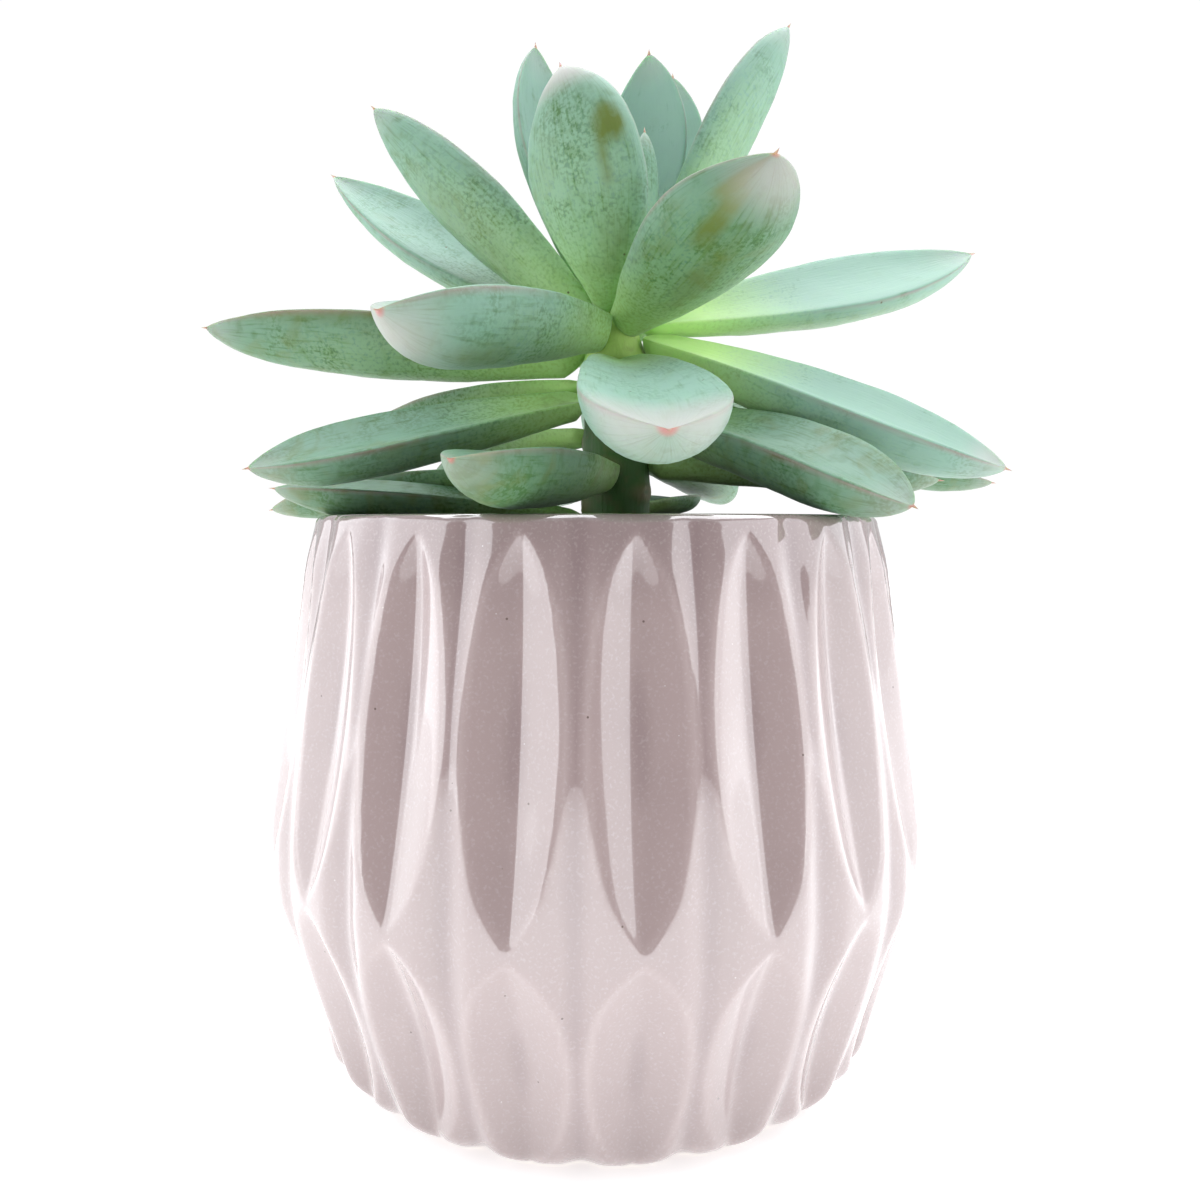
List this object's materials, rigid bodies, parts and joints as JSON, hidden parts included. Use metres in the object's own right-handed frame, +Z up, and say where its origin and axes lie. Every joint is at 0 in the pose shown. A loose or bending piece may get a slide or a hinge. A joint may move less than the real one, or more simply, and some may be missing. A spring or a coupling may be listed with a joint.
{
  "type": "potted succulent",
  "caption": "Leggy rosette succulent with fleshy blue-green leaves on a bare stem, in a small fluted, lens-cut glazed ceramic pot filled with soil.",
  "frame": {"origin": "centre of the pot's flat foot, on the surface it stands on", "axes": "+Z up; -Y towards the plant's best side; +X to the right seen from there"},
  "size_m": [0.105, 0.093, 0.129],
  "materials": {
    "glaze": "gloss",
    "soil": "matte",
    "stem": "satin",
    "leaf": "satin"
  },
  "bodies": {
    "root": {"pot": "glaze", "soil": "soil", "stem": "stem", "leaf_heart_1": "leaf", "leaf_heart_2": "leaf", "leaf_heart_3": "leaf", "leaf_heart_4": "leaf", "leaf_upright_front": "leaf", "leaf_upright_left": "leaf", "leaf_upright_back": "leaf", "leaf_upright_far": "leaf", "leaf_upright_right": "leaf", "leaf_front_right": "leaf", "leaf_far_right": "leaf", "leaf_rising_left": "leaf", "leaf_rising_left_back": "leaf", "leaf_level_left": "leaf", "leaf_front_left": "leaf", "leaf_long_right": "leaf", "leaf_front_drooping": "leaf", "leaf_rim_right_front": "leaf", "leaf_rim_left_front": "leaf", "leaf_rim_left": "leaf", "leaf_rim_left_back": "leaf", "leaf_rim_front": "leaf", "leaf_low_back_left": "leaf", "leaf_low_back": "leaf", "leaf_rim_right": "leaf", "leaf_rim_right_back": "leaf", "leaf_back_high": "leaf", "leaf_back_left": "leaf", "leaf_back_right": "leaf", "leaf_back_drooping": "leaf", "leaf_rim_back_right": "leaf", "leaf_rim_back": "leaf", "leaf_rim_inner_right": "leaf"}
  },
  "joints": []
}
